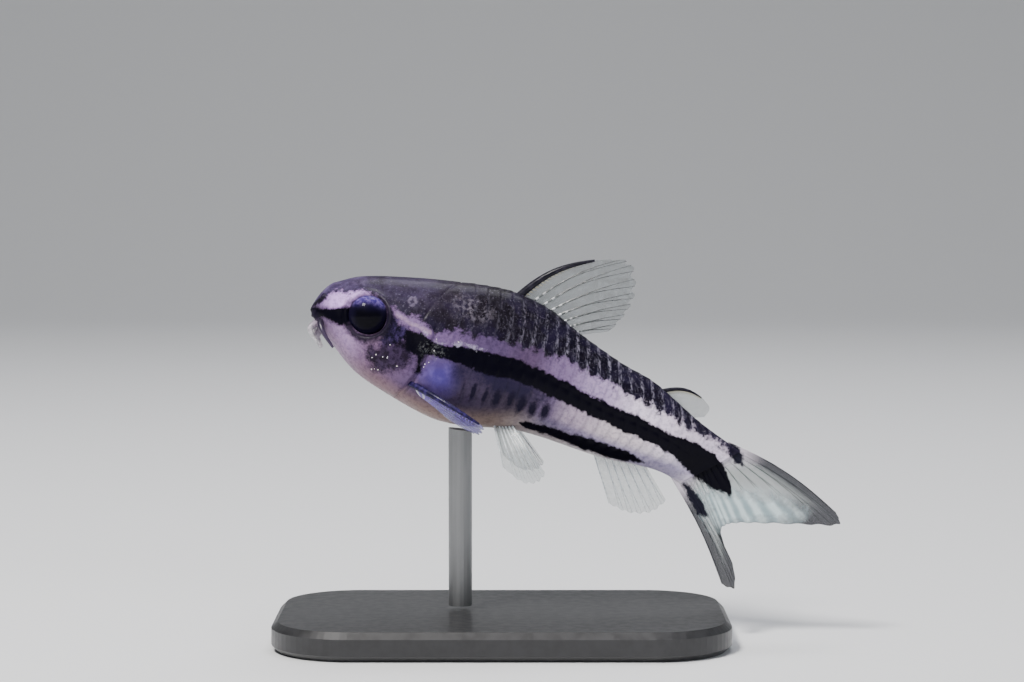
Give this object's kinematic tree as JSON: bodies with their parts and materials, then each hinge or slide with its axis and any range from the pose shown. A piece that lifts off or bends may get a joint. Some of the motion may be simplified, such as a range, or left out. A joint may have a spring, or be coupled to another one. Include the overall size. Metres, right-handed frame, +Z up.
{
  "type": "pygmy corydoras catfish model on a display stand",
  "caption": "Life-size armoured catfish with a dark flank stripe, spread fins and short barbels, nose up on a rod and a flat base.",
  "frame": {"origin": "middle of the underside of the stand's base", "axes": "+Z up; the snout points to -X and the tail to +X; the left flank faces -Y"},
  "size_m": [0.0312, 0.015, 0.021],
  "materials": {
    "skin": "moist satin skin over bony plates: dark back, black flank stripe, pale bands and belly",
    "fin": "clear membrane with fine rays",
    "barbel": "soft moist skin",
    "eye": "wet gloss, near black, violet iris rim",
    "base": "satin black paint",
    "rod": "fine satin steel"
  },
  "bodies": {
    "root": {"head": "skin", "trunk": "skin", "tail": "skin", "fin_dorsal": "fin", "fin_adipose": "fin", "fin_anal": "fin", "fin_caudal_upper": "fin", "fin_caudal_lower": "fin", "fin_pectoral_left": "fin", "fin_pectoral_right": "fin", "fin_pelvic_left": "fin", "fin_pelvic_right": "fin", "barbel_upper_left": "barbel", "barbel_upper_right": "barbel", "barbel_lower_left": "barbel", "barbel_lower_right": "barbel", "barbel_chin_left": "barbel", "barbel_chin_right": "barbel", "eye_left": "eye", "eye_right": "eye", "stand_base": "base", "stand_rod": "rod"}
  },
  "joints": []
}
